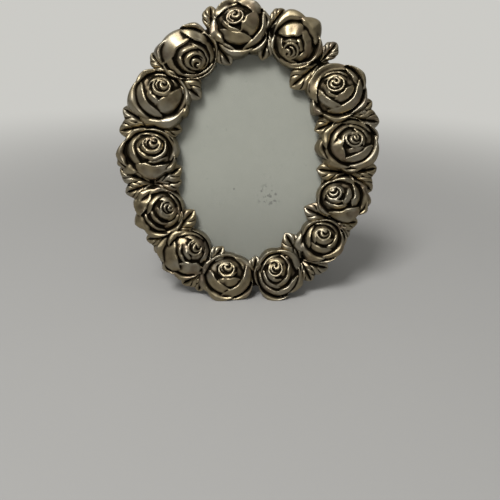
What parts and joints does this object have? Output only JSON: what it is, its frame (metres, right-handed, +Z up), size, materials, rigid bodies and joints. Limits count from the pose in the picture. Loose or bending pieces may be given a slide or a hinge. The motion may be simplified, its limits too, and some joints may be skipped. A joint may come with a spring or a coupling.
{
  "type": "photo frame",
  "caption": "Oval cast-metal photo frame wreathed in roses and leaves, with glass, blank card, velvet backing board, turn buttons and a hinged easel strut.",
  "frame": {"origin": "middle of the bounding box's base, on the surface that the frame stands on", "axes": "+Z up, +Y from the front of the frame to its back, +X to the right as seen from the front"},
  "size_m": [0.1054, 0.0532, 0.1159],
  "materials": {
    "pewter": "antiqued pewter, bright on the high edges and dark in the grooves",
    "glass": "clear picture glass",
    "card": "plain pale grey card",
    "velvet": "black velvet paper over board",
    "steel": "plated steel",
    "brass": "plated sheet, slightly dulled"
  },
  "bodies": {
    "frame": {"rose_wreath_casting": "pewter", "glass_pane": "glass", "photo_card": "card", "backing_board": "velvet", "board_hinge_leaf": "steel", "hinge_pin": "steel", "board_rivet_left": "steel", "board_rivet_right": "steel", "turn_button_screw_1": "steel", "turn_button_screw_2": "steel", "turn_button_screw_3": "steel", "turn_button_screw_4": "steel"},
    "strut": {"easel_strut": "velvet", "strut_hinge_leaf": "steel", "strut_rivet_left": "steel", "strut_rivet_right": "steel"},
    "turn_button_1": {"turn_button_1": "brass"},
    "turn_button_2": {"turn_button_2": "brass"},
    "turn_button_3": {"turn_button_3": "brass"},
    "turn_button_4": {"turn_button_4": "brass"}
  },
  "joints": [
    {"name": "strut_hinge", "type": "hinge", "parent": "frame", "child": "strut", "pos_m": [0.00005, 0.00248, 0.08071], "axis": [-1, 0, 0], "range_deg": [0, 28]},
    {"name": "turn_button_1_pivot", "type": "hinge", "parent": "frame", "child": "turn_button_1", "pos_m": [0.03176, 0.0006, 0.07912], "axis": [0, 0.9781, -0.2079], "range_deg": [-90, 90]},
    {"name": "turn_button_2_pivot", "type": "hinge", "parent": "frame", "child": "turn_button_2", "pos_m": [-0.03166, 0.0006, 0.07912], "axis": [0, 0.9781, -0.2079], "range_deg": [-90, 90]},
    {"name": "turn_button_3_pivot", "type": "hinge", "parent": "frame", "child": "turn_button_3", "pos_m": [-0.03166, -0.0094, 0.03206], "axis": [0, 0.9781, -0.2079], "range_deg": [-90, 90]},
    {"name": "turn_button_4_pivot", "type": "hinge", "parent": "frame", "child": "turn_button_4", "pos_m": [0.03176, -0.0094, 0.03206], "axis": [0, 0.9781, -0.2079], "range_deg": [-90, 90]}
  ]
}
